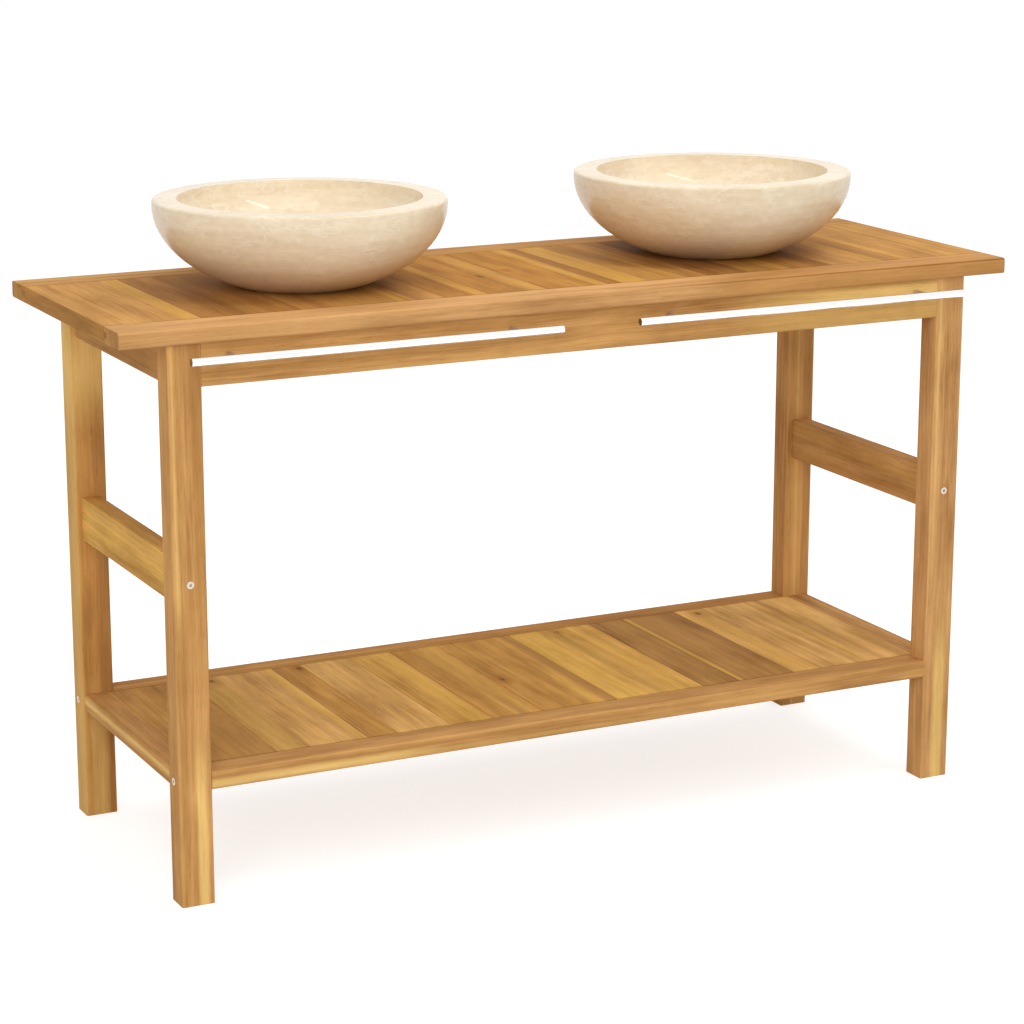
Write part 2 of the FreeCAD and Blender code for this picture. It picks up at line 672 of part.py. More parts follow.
def waste_body(side_name, side):
    """The flanged tube of a waste, with a plain spigot below and a cross of two bars and a boss inside."""
    name = "waste_body_" + side_name
    piece = body(name, waste_axis(side, "tail_end_height"))
    spider = "spider_top - spider_height - tail_end_height"
    round_bar(piece, "Additive", name + "_spigot", ("0", "0", "0"), "+z", "spigot_diameter", "tail_length")
    round_bar(piece, "Additive", name + "_tail", ("0", "0", "spigot_length"), "+z", "tail_diameter",
              "tail_length - spigot_length")
    round_bar(piece, "Additive", name + "_flange", ("0", "0", "tail_length"), "+z",
              "flange_diameter", "flange_thickness")
    round_bar(piece, "Subtractive", name + "_bore", ("0", "0", "-cut_overrun"), "+z",
              "tail_bore_diameter", "tail_length + flange_thickness + 2 * cut_overrun")
    for number, size in enumerate((("tail_diameter - tail_wall", "spider_width"),
                                   ("spider_width", "tail_diameter - tail_wall")), start=1):
        block(piece, "Additive", "%s_cross_bar_%d" % (name, number),
              ("0", "0", "%s + spider_height / 2" % spider), size + ("spider_height",))
    round_bar(piece, "Additive", name + "_boss", ("0", "0", spider), "+z",
              "guide_diameter + 2 * spider_boss_margin", "spider_height")
    return hand_in(piece)


def waste_plug(side_name, side):
    """A round push plug with a stem that slides in the guide."""
    name = "waste_plug_" + side_name
    piece = body(name, waste_axis(side, "plug_underside"))
    cap = round_bar(piece, "Additive", name + "_cap", ("0", "0", "0"), "+z", "plug_diameter", "plug_thickness")
    soften(piece, "Fillet", cap, "plug_edge_radius",
           lambda edge: edge.Curve.TypeId == "Part::GeomCircle" and edge.CenterOfMass.z > 0)
    round_bar(piece, "Additive", name + "_stem", ("0", "0", "-stem_length"), "+z",
              "stem_diameter", "stem_length")
    return hand_in(piece)


def lock_nuts():
    """Six-sided nuts that draw the wastes down on the top."""
    pieces = []
    for side_name, side in SIDES:
        name = "waste_lock_nut_" + side_name
        piece = body(name, waste_axis(side, "lock_nut_underside"))
        stock = piece.newObject("PartDesign::AdditivePrism", name + "_stock")
        stock.Polygon = 6
        bind(stock, "Circumradius", "lock_nut_diameter / 2")
        bind(stock, "Height", "lock_nut_thickness")
        round_bar(piece, "Subtractive", name + "_thread", ("0", "0", "-cut_overrun"), "+z",
                  "tail_hole_diameter", "lock_nut_thickness + 2 * cut_overrun")
        pieces.append(piece)
    return group("waste_lock_nuts", pieces)


def waste_rings(label, height, outer, inner, thickness):
    """A ring of one kind for each waste, together as one sub-part."""
    return group(label, [ring("%s_%s" % (label, side_name), side, height, outer, inner, thickness)
                         for side_name, side in SIDES])


for side_name, side in SIDES:
    for end_name, end in ENDS:
        leg(side_name, side, end_name, end)
    side_apron(side_name, side)
    stretcher(side_name, side)
    shelf_end_rail(side_name, side)
    basin(side_name, side)
    towel_bar(side_name, side)
    waste_body(side_name, side)
    waste_plug(side_name, side)
    hand_in(ring("plug_seal_" + side_name, side, "plug_seal_height", "plug_seal_diameter",
                 "plug_seal_diameter - 2 * plug_seal_width", "plug_seal_thickness"))
for end_name, end in ENDS:
    long_apron(end_name, end)
    top_rail(end_name, end)
    shelf_rail(end_name, end)
top_boards()
boards("shelf_board", spread(SHELF_JOINT_SHARES, "-shelf_board_span / 2", "shelf_board_span / 2"),
       "shelf_board_span", "side_span", "shelf_height", "shelf_thickness", "rail_span")
towel_bar_posts()
towel_post_screws()
top_screws()
frame_bolts()
barrel_nuts()
lock_nuts()
waste_rings("waste_washers", "washer_underside", "washer_diameter", "tail_hole_diameter", "washer_thickness")
waste_rings("flange_seals", "recess_height", "flange_diameter", "tail_hole_diameter", "flange_seal_thickness")
waste_rings("plug_guides", "spider_top", "guide_diameter", "guide_bore_diameter", "guide_height")

doc.recompute()
for item in doc.Objects:
    if "Invalid" in item.State or "Error" in item.State:
        raise RuntimeError("%s could not be built: %s" % (item.Name, item.State))
for piece in subparts:
    if piece.Shape.isNull() or not piece.Shape.isValid():
        raise RuntimeError(piece.Label + " has no valid shape")
    solids = len(piece.Links) if piece.TypeId == "Part::Compound" else 1
    if len(piece.Shape.Solids) != solids:
        raise RuntimeError("%s has %d solids" % (piece.Label, len(piece.Shape.Solids)))

os.makedirs("parts", exist_ok=True)
for piece in subparts:
    piece.Shape.exportStep(os.path.join("parts", piece.Label + ".step"))
print(len(subparts), "sub-parts written")
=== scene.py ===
import math
from collections import namedtuple

import bmesh
import bpy
from mathutils import Matrix, Vector


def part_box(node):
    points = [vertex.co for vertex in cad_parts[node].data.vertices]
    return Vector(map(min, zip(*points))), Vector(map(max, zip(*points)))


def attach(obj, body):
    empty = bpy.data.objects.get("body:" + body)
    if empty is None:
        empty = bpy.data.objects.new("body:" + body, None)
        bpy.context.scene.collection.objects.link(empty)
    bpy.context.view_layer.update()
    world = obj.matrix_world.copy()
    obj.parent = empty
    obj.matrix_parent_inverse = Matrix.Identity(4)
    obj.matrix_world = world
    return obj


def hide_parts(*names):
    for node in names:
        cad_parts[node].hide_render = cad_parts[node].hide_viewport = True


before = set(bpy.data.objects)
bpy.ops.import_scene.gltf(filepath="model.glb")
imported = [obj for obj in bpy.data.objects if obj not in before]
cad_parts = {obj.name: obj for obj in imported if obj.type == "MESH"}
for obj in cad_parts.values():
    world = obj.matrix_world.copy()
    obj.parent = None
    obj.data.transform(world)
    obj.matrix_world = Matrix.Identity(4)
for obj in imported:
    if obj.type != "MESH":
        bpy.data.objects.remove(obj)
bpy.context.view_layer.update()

# A slatted hardwood washstand with two stone bowls, two towel bars and two push-open wastes.
# Lengths are in metres. X runs along the stand, Y from front to back, Z up from the floor.

MM = 0.001
X, Y, Z = 0, 1, 2
SIDES = ("left", "right")
WHITE = (1.0, 1.0, 1.0, 1.0)
# Noise with another seed comes from this much further off in space.
SEED_STEP = (1.71, 0.93, 2.37)


def tint(red, green, blue):
    """A colour matched in steps of 0 to 255, as the linear light that a shader takes."""
    shares = [step / 255 for step in (red, green, blue)]
    lights = [share / 12.92 if share < 0.04 else ((share + 0.055) / 1.055) ** 2.4 for share in shares]
    return (*lights, 1.0)


def toned(colour, factors):
    """A colour with its red, green and blue made stronger or weaker."""
    return (*(light * factor for light, factor in zip(colour, factors)), 1.0)


class Value:
    """A number that changes over a surface. Sums and products of it become Math nodes."""

    def __init__(self, finish, socket):
        self.finish = finish
        self.socket = socket

    def maths(self, operation, first, second=None):
        sockets = {0: first} if second is None else {0: first, 1: second}
        return self.finish.node("ShaderNodeMath", {"operation": operation}, sockets)

    def __add__(self, other):
        return self.maths("ADD", self, other)

    def __radd__(self, other):
        return self.maths("ADD", other, self)

    def __sub__(self, other):
        return self.maths("SUBTRACT", self, other)

    def __rsub__(self, other):
        return self.maths("SUBTRACT", other, self)

    def __mul__(self, other):
        return self.maths("MULTIPLY", self, other)

    def __rmul__(self, other):
        return self.maths("MULTIPLY", other, self)

    def __pow__(self, other):
        return self.maths("POWER", self, other)

    def __abs__(self):
        return self.maths("ABSOLUTE", self)

    def sine(self):
        return self.maths("SINE", self)

    def lesser(self, other):
        return self.maths("MINIMUM", self, other)

    def greater(self, other):
        return self.maths("MAXIMUM", self, other)

    def rise(self, start, end):
        """0 below the start, 1 above the end, and a smooth slope between them."""
        return self.finish.node("ShaderNodeMapRange", {"interpolation_type": "SMOOTHSTEP"},
                                {"Value": self, "From Min": start, "From Max": end})

    def fall(self, start, end):
        """1 below the start, 0 above the end, and a smooth slope between them."""
        return 1.0 - self.rise(start, end)


class Finish:
    """The nodes of a material, or of the sky, in the making."""

    def __init__(self, owner):
        owner.use_nodes = True
        self.owner = owner
        self.tree = owner.node_tree
        self.tree.nodes.clear()

    def node(self, kind, settings=None, sockets=None, output=0):
        """Any node, with its settings, then the numbers, colours or links of its sockets."""
        made = self.tree.nodes.new(kind)
        for name, setting in (settings or {}).items():
            setattr(made, name, setting)
        for name, value in (sockets or {}).items():
            if isinstance(value, Value):
                self.tree.links.new(value.socket, made.inputs[name])
            else:
                made.inputs[name].default_value = value
        return Value(self, made.outputs[output]) if made.outputs else None

    def place(self):
        """Where a point of the piece lies, in metres."""
        return self.node("ShaderNodeTexCoord", output="Object")

    def split(self, vector):
        """The three numbers of a vector."""
        return [self.node("ShaderNodeSeparateXYZ", {}, {0: vector}, axis) for axis in (X, Y, Z)]

    def vector(self, operation, *parts):
        return self.node("ShaderNodeVectorMath", {"operation": operation}, dict(enumerate(parts)))

    def blend(self, share, first, second):
        """The first colour where the share is 0, the second where it is 1."""
        return self.node("ShaderNodeMix", {"data_type": "RGBA"}, {0: share, 6: first, 7: second}, 2)

    def shade(self, share, colour, other):
        """A colour multiplied by another where the share is 1."""
        return self.node("ShaderNodeMix", {"data_type": "RGBA", "blend_type": "MULTIPLY"},
                         {0: share, 6: colour, 7: other}, 2)

    def noise(self, place, scale, seed, detail=3.0, roughness=0.55, output=0):
        """Noise at a scale for each axis, from its own part of space."""
        drawn = self.node("ShaderNodeMapping", {}, {
            "Vector": place, "Location": [step * seed for step in SEED_STEP], "Scale": scale})
        return self.node("ShaderNodeTexNoise", {}, {
            "Vector": drawn, "Scale": 1.0, "Detail": detail, "Roughness": roughness}, output)

    def surface(self, colour, roughness, height, depth, **constants):
        """The shader: colour, roughness and relief vary, the rest is the same all over."""
        relief = self.node("ShaderNodeBump", {}, {"Strength": 0.6, "Distance": depth, "Height": height})
        sockets = {"Base Color": colour, "Roughness": roughness, "Normal": relief}
        sockets.update({name.replace("_", " "): value for name, value in constants.items()})
        shader = self.node("ShaderNodeBsdfPrincipled", {}, sockets)
        self.node("ShaderNodeOutputMaterial", {}, {"Surface": shader})
        return self.owner

    def end_face(self, run):
        """1 on the faces at the two ends of a run, 0 along its sides."""
        normal = self.split(self.node("ShaderNodeTexCoord", output="Normal"))
        return abs(normal[run]).rise(0.6, 0.9)

    def in_sight(self):
        """1 for what the camera sees, straight or in polish or glass, and 0 for what only gives light."""
        camera, glossy, through = [self.node("ShaderNodeLightPath", output=ray) for ray in (
            "Is Camera Ray", "Is Glossy Ray", "Is Transmission Ray")]
        return camera.greater(glossy).greater(through)


# Tones of the hardwood, from pale sapwood to the darkest heartwood.
TONES = {
    "sap": tint(238, 196, 118),
    "pale": tint(210, 160, 102),
    "straw": tint(215, 172, 100),
    "gold": tint(216, 167, 86),
    "honey": tint(206, 155, 85),
    "fawn": tint(202, 153, 99),
    "tan": tint(199, 149, 89),
    "olive": tint(186, 141, 77),
    "amber": tint(191, 138, 76),
    "ochre": tint(185, 132, 65),
    "brown": tint(178, 128, 74),
    "umber": tint(162, 115, 68),
    "knot": tint(98, 61, 33),
}
# Red, green and blue factors of the figure in the wood, of what oil and age do to it, and of painted
# highlights on arrises.
DARK_FIGURE, PALE_FIGURE = (0.66, 0.58, 0.50), (1.20, 1.21, 1.18)
DARK_STRIPE, PALE_STRIPE = (0.84, 0.80, 0.74), (1.08, 1.08, 1.08)
WORN_AND_HIGHLIT_PALE = (1.35, 1.38, 1.42)
DARK_LINE = (0.75, 0.67, 0.56, 1.0)
ROUND_A_KNOT = (0.66, 0.55, 0.42, 1.0)
OPEN_PORE = (0.62, 0.52, 0.42, 1.0)
END_GRAIN = (0.76, 0.70, 0.62, 1.0)
DARK_WITH_OIL = (0.55, 0.46, 0.36, 1.0)
# How far the fibres sway, the step of the rings and where their heart lies.
SWAY = 18 * MM
RING_STEP = 8 * MM
HEART_ASIDE_STEP = 22 * MM
HEART_BELOW, HEART_BELOW_STEP = 30 * MM, 17 * MM
# How far the edges of stripes and knots waver and fade.
STRIPE_WAVER, KNOT_WAVER = 9 * MM, 6 * MM
STRIPE_FADE_IN, STRIPE_FADE_OUT = 5 * MM, 3 * MM
STRIPE_END_FADE = 60 * MM
# Widths of the lines at joints and arrises: full up to the first number, gone at the second.
SIDE_JOINT = (0.3 * MM, 1.5 * MM)
END_JOINT = (1.0 * MM, 4.5 * MM)
WORN_AND_HIGHLIT_ARRIS = (0.8 * MM, 3.2 * MM)
OILED_ARRIS = (1.2 * MM, 3.2 * MM)
OILED_ARRIS_FADE = 150 * MM
# A board's tongue, which lies hidden in the groove of a rail.
TONGUE = 9 * MM
WOOD_RELIEF = 0.25 * MM

# A stripe of paler or darker wood: start and end in mm from the piece's low side on an axis, tone, strength,
# drift across the piece for each length along it, and reach along the grain in mm.
Stripe = namedtuple("Stripe", "axis start end tone strength drift reach", defaults=(0.0, None))


def seed_of(name):
    """A number of a piece's own, so that no two pieces have the same figure."""
    return sum((place + 3) * ord(letter) for place, letter in enumerate(name)) % 89


def oiled_wood(name, run, tone, cast, stripes=(), knots=(), joint_sides=False, dark_arris=None):
    """Oiled hardwood with its grain along one axis, stripes, knots, open pores and a cast of colour, painted
    light on the shelf and painted shade on the top.
    """
    low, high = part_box(name)
    seed = seed_of(name)
    finish = Finish(bpy.data.materials.new("oiled_wood_" + name))
    place = finish.place()

    def along_grain(across, along):
        scale = [across] * 3
        scale[run] = along
        return scale

    # The fibres sway a little from side to side along the piece.
    sway = finish.noise(place, along_grain(6.0, 2.6), seed, detail=2.0, output=1)
    bent = finish.vector("MULTIPLY_ADD", finish.vector("SUBTRACT", sway, (0.5, 0.5, 0.5)),
                         along_grain(SWAY, 0.0), place)
    axes = finish.split(bent)
    straight = finish.split(place)
    broad = finish.noise(bent, along_grain(21.0, 0.8), seed + 1)
    streak = finish.noise(bent, along_grain(88.0, 1.7), seed + 11)
    fibre = finish.noise(bent, along_grain(520.0, 9.0), seed + 23, detail=2.0)
    pore = finish.noise(bent, along_grain(1050.0, 36.0), seed + 37, detail=1.0).rise(0.60, 0.74)
    dark_line = finish.noise(bent, along_grain(62.0, 3.0), seed + 51).rise(0.54, 0.70)
    gleam = finish.noise(bent, along_grain(43.0, 3.0), seed + 67).rise(0.54, 0.72)
    patch = finish.noise(bent, along_grain(26.0, 7.0), seed + 79, detail=4.0)

    # Growth rings round a heart that lies beside and below the piece.
    first, second = [axis for axis in (X, Y, Z) if axis != run]
    heart_first = (low[first] + high[first]) / 2 + (seed % 7 - 3) * HEART_ASIDE_STEP
    heart_second = low[second] - HEART_BELOW - seed % 5 * HEART_BELOW_STEP
    off_first = axes[first] - heart_first
    off_second = axes[second] - heart_second
    off_heart = (off_first * off_first + off_second * off_second) ** 0.5
    ring = (off_heart * (math.tau / RING_STEP) + broad * 5.0).sine()

    base = TONES[tone]
    figure = (0.5 + (broad - 0.5) * 1.3 + (streak - 0.5) * 1.0 + (patch - 0.5) * 1.6 + (fibre - 0.5) * 0.9
              + ring * 0.06)
    colour = finish.blend(figure, toned(base, DARK_FIGURE), toned(base, PALE_FIGURE))
    colour = finish.shade(dark_line * 0.36, colour, DARK_LINE)
    colour = finish.blend(gleam * 0.17, colour, TONES["gold"])

    waver = (streak - 0.5) * STRIPE_WAVER
    run_middle = (low[run] + high[run]) / 2
    for stripe in stripes:
        middle = low[stripe.axis] + (stripe.start + stripe.end) / 2 * MM
        half = (stripe.end - stripe.start) / 2 * MM
        swayed = straight[stripe.axis] + (axes[stripe.axis] - straight[stripe.axis]) * 0.35
        across = swayed - (straight[run] - run_middle) * stripe.drift
        faded = (abs(across - middle) + waver).fall(half - STRIPE_FADE_IN, half + STRIPE_FADE_OUT)
        mask = faded * stripe.strength
        if stripe.reach:
            first_end, last_end = [end * MM for end in stripe.reach]
            mask = mask * straight[run].rise(first_end - STRIPE_END_FADE, first_end + STRIPE_END_FADE)
            mask = mask * straight[run].fall(last_end - STRIPE_END_FADE, last_end + STRIPE_END_FADE)
        other = TONES[stripe.tone]
        striped = finish.blend(figure, toned(other, DARK_STRIPE), toned(other, PALE_STRIPE))
        colour = finish.blend(mask, colour, striped)

    # Knots in the upper face, drawn out along the grain.
    for along, across, radius in knots:
        off_along = (straight[run] - along * MM) * 0.5
        off_across = straight[first] - across * MM
        off = (off_along * off_along + off_across * off_across) ** 0.5 + (streak - 0.5) * KNOT_WAVER
        colour = finish.shade(off.fall(radius * MM, 4.5 * radius * MM) * 0.55, colour, ROUND_A_KNOT)
        colour = finish.blend(off.fall(0.2 * radius * MM, 1.3 * radius * MM) * 0.8, colour, TONES["knot"])

    colour = finish.shade(pore * 0.35, colour, OPEN_PORE)

    # Distance from the nearest side face on each axis across the grain.
    near_first = (straight[first] - low[first]).lesser(high[first] - straight[first])
    near_second = (straight[second] - low[second]).lesser(high[second] - straight[second])
    if joint_sides:
        # Oil gathers in the eased joints between boards.
        worn_and_highlit = 0.0
        near_end = (straight[run] - low[run]).lesser(high[run] - straight[run]) - TONGUE
        joint = (near_first.fall(*SIDE_JOINT) * 0.5).greater(near_end.fall(*END_JOINT) * 0.85)
        colour = finish.shade(joint, colour, DARK_WITH_OIL)
    else:
        # Arrises are a little paler and drier: wear, with a painted highlight along the eased edges.
        worn_and_highlit = near_first.greater(near_second).fall(*WORN_AND_HIGHLIT_ARRIS) * streak.rise(0.35, 0.6)
        colour = finish.blend(worn_and_highlit * 0.22, colour, toned(base, WORN_AND_HIGHLIT_PALE))
    if dark_arris is not None:
        # From this place on along the grain, the upper front arris is dark with oil.
        edge = (straight[first] - low[first]).greater(high[second] - straight[second])
        begun = straight[run].rise(dark_arris * MM - OILED_ARRIS_FADE, dark_arris * MM + OILED_ARRIS_FADE)
        colour = finish.shade(edge.fall(*OILED_ARRIS) * begun * 0.9, colour, DARK_WITH_OIL)

    # End grain drinks more oil.
    end_grain = finish.end_face(run)
    colour = finish.shade(end_grain * 0.7, colour, END_GRAIN)
    # The cast: painted light on the shelf, painted shade on the top, a shift of hue on the framing.
    colour = finish.shade(1.0, colour, (*cast, 1.0))

    roughness = 0.56 + (streak - 0.5) * 0.16 + pore * 0.14 + worn_and_highlit * 0.08 + end_grain * 0.12
    height = fibre * 0.5 - pore * 0.9 + ring * 0.05
    return finish.surface(colour, roughness, height, WOOD_RELIEF, Specular_IOR_Level=0.02)


# Tones of the stone.
STONE_SHADE = tint(219, 198, 167)
STONE_LIGHT = tint(244, 229, 201)
STONE_VEIN = tint(252, 244, 228)
STONE_CRYSTAL = tint(252, 245, 232)
STONE_FOOT_PAINTED_LIGHT = tint(232, 221, 203)
STONE_RELIEF = 0.04 * MM


def polished_marble(name):
    """Cream marble: soft clouds, level bedding streaks, pale crystals and faint veins under a polish."""
    finish = Finish(bpy.data.materials.new("cream_marble_" + name))
    low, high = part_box(name)
    seed = seed_of(name)
    place = finish.place()
    cloud = finish.noise(place, (8.0, 8.0, 15.0), seed, detail=4.0)
    bedding = finish.noise(place, (10.0, 10.0, 120.0), seed + 7, detail=4.0, roughness=0.62)
    mottle = finish.noise(place, (70.0, 70.0, 120.0), seed + 13, detail=4.0)
    crystal = finish.noise(place, (420.0, 420.0, 420.0), seed + 29, detail=2.0).rise(0.60, 0.74)
    fold = finish.noise(place, (9.0, 9.0, 22.0), seed + 41, detail=6.0, roughness=0.62)
    vein = abs(fold - 0.5).fall(0.004, 0.022)
    figure = 0.5 + (cloud - 0.5) * 0.9 + (bedding - 0.5) * 1.0 + (mottle - 0.5) * 0.9
    colour = finish.blend(figure, STONE_SHADE, STONE_LIGHT)
    colour = finish.blend(vein * 0.24, colour, STONE_VEIN)
    colour = finish.blend(crystal * 0.15, colour, STONE_CRYSTAL)
    # The stone is painted a little whiter towards its foot: painted light against the warm shade on its lower
    # part.
    painted_light_near_foot = finish.split(place)[Z].fall(low[Z], low[Z] + 0.6 * (high[Z] - low[Z]))
    colour = finish.blend(painted_light_near_foot * 0.45, colour, STONE_FOOT_PAINTED_LIGHT)
    roughness = 0.30 + (mottle - 0.5) * 0.14 + crystal * 0.06
    return finish.surface(colour, roughness, mottle * 0.6 + crystal * 0.4, STONE_RELIEF,
                          Specular_IOR_Level=0.2, Coat_Weight=0.25, Coat_Roughness=0.03)


# Fineness of draw marks across and along them, and relief of metals and of moulded skins.
MARKS_ACROSS, MARKS_ALONG = 2600.0, 60.0
METAL_RELIEF = 0.003 * MM
SKIN_RELIEF = 0.03 * MM
SMUDGED = (0.95, 0.95, 0.95)
DARKER_ENDS = (0.24, 0.18, 0.13, 1.0)
DUSTY = (1.5, 1.5, 1.45)


def drawn_metal(name, colour, roughness, run=None, spread=0.08):
    """Bare or plated metal with fine draw marks along one axis, or a fine even grain."""
    finish = Finish(bpy.data.materials.new(name))
    place = finish.place()
    scale = [MARKS_ACROSS] * 3
    if run is not None:
        scale[run] = MARKS_ALONG
    mark = finish.noise(place, scale, 5, detail=2.0)
    smudge = finish.noise(place, (45.0, 45.0, 45.0), 17, detail=4.0)
    shine = finish.blend(smudge.rise(0.35, 0.7), toned(colour, SMUDGED), colour)
    if run is not None:
        # The end faces are much darker and browner than the polished sides.
        shine = finish.shade(finish.end_face(run), shine, DARKER_ENDS)
    dullness = roughness + (mark - 0.5) * spread + (smudge - 0.5) * spread
    return finish.surface(shine, dullness, mark, METAL_RELIEF, Metallic=1.0)


def soft_polymer(name, colour, roughness):
    """Moulded rubber or plastic with a fine skin and a trace of dust."""
    finish = Finish(bpy.data.materials.new(name))
    place = finish.place()
    skin = finish.noise(place, (900.0, 900.0, 900.0), 3)
    dust = finish.noise(place, (60.0, 60.0, 60.0), 9, detail=5.0).rise(0.52, 0.78)
    shade = finish.blend(dust * 0.25, colour, toned(colour, DUSTY))
    return finish.surface(shade, roughness + (skin - 0.5) * 0.2 + dust * 0.1, skin, SKIN_RELIEF)


def dress(node_name, material):
    """Give a carried-over solid its material."""
    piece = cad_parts[node_name]
    if not piece.material_slots:
        piece.data.materials.append(material)
    for slot in piece.material_slots:
        slot.material = material


# Points this near are one point, a cut takes in points this near, and an edge this flat is level.
SAME_POINT = 0.001 * MM
CUT_SNAP = 0.01 * MM
LEVEL = 0.02 * MM


def hand_in(shape, name, body, material, replaced, sharp=40.0):
    """Turn a finished shape into a piece of the object that stands for a solid."""
    bmesh.ops.remove_doubles(shape, verts=shape.verts[:], dist=SAME_POINT)
    bmesh.ops.recalc_face_normals(shape, faces=shape.faces[:])
    if shape.calc_volume(signed=True) < 0:
        bmesh.ops.reverse_faces(shape, faces=shape.faces[:])
    mesh = bpy.data.meshes.new(name)
    shape.to_mesh(mesh)
    shape.free()
    mesh.polygons.foreach_set("use_smooth", [True] * len(mesh.polygons))
    mesh.set_sharp_from_angle(angle=math.radians(sharp))
    mesh.materials.append(material)
    piece = bpy.data.objects.new(name, mesh)
    bpy.context.scene.collection.objects.link(piece)
    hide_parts(replaced)
    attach(piece, body)


# Stone bowls.
BELLY_DROP = 8 * MM
FOOT_RADIUS = 82.5 * MM
RIM_WIDTH = 33 * MM
BOWL_FLOOR = 25 * MM
RECESS_RADIUS = 32.5 * MM
RECESS_DEPTH = 2 * MM
WASTE_HOLE_RADIUS = 22.45 * MM
RIM_ROUNDING = 4 * MM
BOWL_SEAM = 0.05 * MM
BOWL_STEPS_ROUND, BOWL_STEPS_DOWN = 160, 40


def level_edges(shape, height):
    """The edges of a shape that lie level at a height."""
    return [edge for edge in shape.edges if all(abs(vert.co.z - height) < LEVEL for vert in edge.verts)]


def half_ball(shape, centre, radius, depth, lowest, highest):
    """A flattened ball cut level at two heights; gives its lower and upper open edges."""
    flattened = Matrix.Translation(centre) @ Matrix.Diagonal((radius, radius, depth, 1.0))
    bmesh.ops.create_uvsphere(shape, u_segments=BOWL_STEPS_ROUND, v_segments=BOWL_STEPS_DOWN, radius=1.0,
                              matrix=flattened)
    for height, way in ((lowest, -1), (highest, 1)):
        bmesh.ops.bisect_plane(shape, geom=shape.verts[:] + shape.edges[:] + shape.faces[:], dist=CUT_SNAP,
                               plane_co=(0, 0, height), plane_no=(0, 0, way), clear_outer=True)
    return [[edge for edge in level_edges(shape, height) if edge.is_boundary] for height in (lowest, highest)]


def edge_ring(shape, edges, centre, factor, lift):
    """Draw an open edge on to a ring of another size and height; gives the new edges."""
    drawn = bmesh.ops.extrude_edge_only(shape, edges=edges)["geom"]
    verts = [item for item in drawn if isinstance(item, bmesh.types.BMVert)]
    bmesh.ops.scale(shape, vec=(factor, factor, 1.0), space=Matrix.Translation(-centre), verts=verts)
    bmesh.ops.translate(shape, vec=(0, 0, lift), verts=verts)
    return [item for item in drawn if isinstance(item, bmesh.types.BMEdge)]


def stone_bowl(side):
    """A round bowl on a flat foot, with a flat rim and a recessed bore for its waste."""
    low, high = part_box("basin_" + side)
    centre = Vector(((low[X] + high[X]) / 2, (low[Y] + high[Y]) / 2, 0))
    radius = min(high[X] - low[X], high[Y] - low[Y]) / 2
    belly = Vector((centre.x, centre.y, high[Z] - BELLY_DROP))
    belly_depth = (belly.z - low[Z]) / math.sqrt(1 - (FOOT_RADIUS / radius) ** 2)
    rim = Vector((centre.x, centre.y, high[Z]))
    inner_radius = radius - RIM_WIDTH
    inner_depth = high[Z] - low[Z] - BOWL_FLOOR
    recess_mouth = high[Z] - inner_depth * math.sqrt(1 - (RECESS_RADIUS / inner_radius) ** 2)
    recess_bed = low[Z] + BOWL_FLOOR - RECESS_DEPTH

    inside = bmesh.new()
    half_ball(inside, rim, inner_radius, inner_depth, recess_mouth, high[Z])
    hollow = bpy.data.meshes.new("bowl_hollow_" + side)
    inside.to_mesh(hollow)
    inside.free()

    bowl = bmesh.new()
    foot, outer_edge = half_ball(bowl, belly, radius, belly_depth, low[Z], high[Z])
    bore = edge_ring(bowl, foot, centre, WASTE_HOLE_RADIUS / FOOT_RADIUS, 0.0)
    seat = edge_ring(bowl, bore, centre, 1.0, recess_bed - low[Z])
    bed = edge_ring(bowl, seat, centre, RECESS_RADIUS / WASTE_HOLE_RADIUS, 0.0)
    edge_ring(bowl, bed, centre, 1.0, recess_mouth - recess_bed)
    outer_rim = radius * math.sqrt(1 - (BELLY_DROP / belly_depth) ** 2)
    edge_ring(bowl, outer_edge, centre, inner_radius / outer_rim, 0.0)
    bowl.from_mesh(hollow)
    bpy.data.meshes.remove(hollow)
    bmesh.ops.remove_doubles(bowl, verts=bowl.verts[:], dist=BOWL_SEAM)
    bmesh.ops.recalc_face_normals(bowl, faces=bowl.faces[:])

    def runs_round(edge):
        near, far = [(vert.co.xy - centre.xy).length for vert in edge.verts]
        return abs(near - far) < MM

    rounded = [edge for edge in level_edges(bowl, high[Z]) if runs_round(edge)]
    bmesh.ops.bevel(bowl, geom=rounded, offset=RIM_ROUNDING, segments=6, profile=0.5, affect="EDGES",
                    material=-1)
    hand_in(bowl, "stone_bowl_" + side, "stand", polished_marble("basin_" + side),
            "basin_" + side, sharp=50.0)


# Towel bars.
BAR_END_ROUNDING = 1.5 * MM
BAR_STEPS_ROUND = 64


def towel_bar(side, material):
    """A round bar along the stand with eased ends."""
    low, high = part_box("towel_bar_" + side)
    centre = Vector([(low[axis] + high[axis]) / 2 for axis in (X, Y, Z)])
    radius = min(high[Y] - low[Y], high[Z] - low[Z]) / 2
    bar = bmesh.new()
    bmesh.ops.create_cone(bar, cap_ends=True, segments=BAR_STEPS_ROUND, radius1=radius, radius2=radius,
                          depth=high[X] - low[X],
                          matrix=Matrix.Translation(centre) @ Matrix.Rotation(math.pi / 2, 4, "Y"))
    ends = [edge for edge in bar.edges if abs(edge.verts[0].co.x - edge.verts[1].co.x) < CUT_SNAP]
    bmesh.ops.bevel(bar, geom=ends, offset=BAR_END_ROUNDING, segments=4, profile=0.5, affect="EDGES",
                    material=-1)
    hand_in(bar, "steel_towel_bar_" + side, "stand", material, "towel_bar_" + side)


# Plugs of the wastes, a little domed.
PLUG_EDGE = 2 * MM
PLUG_DOME = 0.9 * MM
PLUG_THICKNESS = 4 * MM
STEM_RADIUS = 3.5 * MM
PLUG_STEPS_ROUND = 96


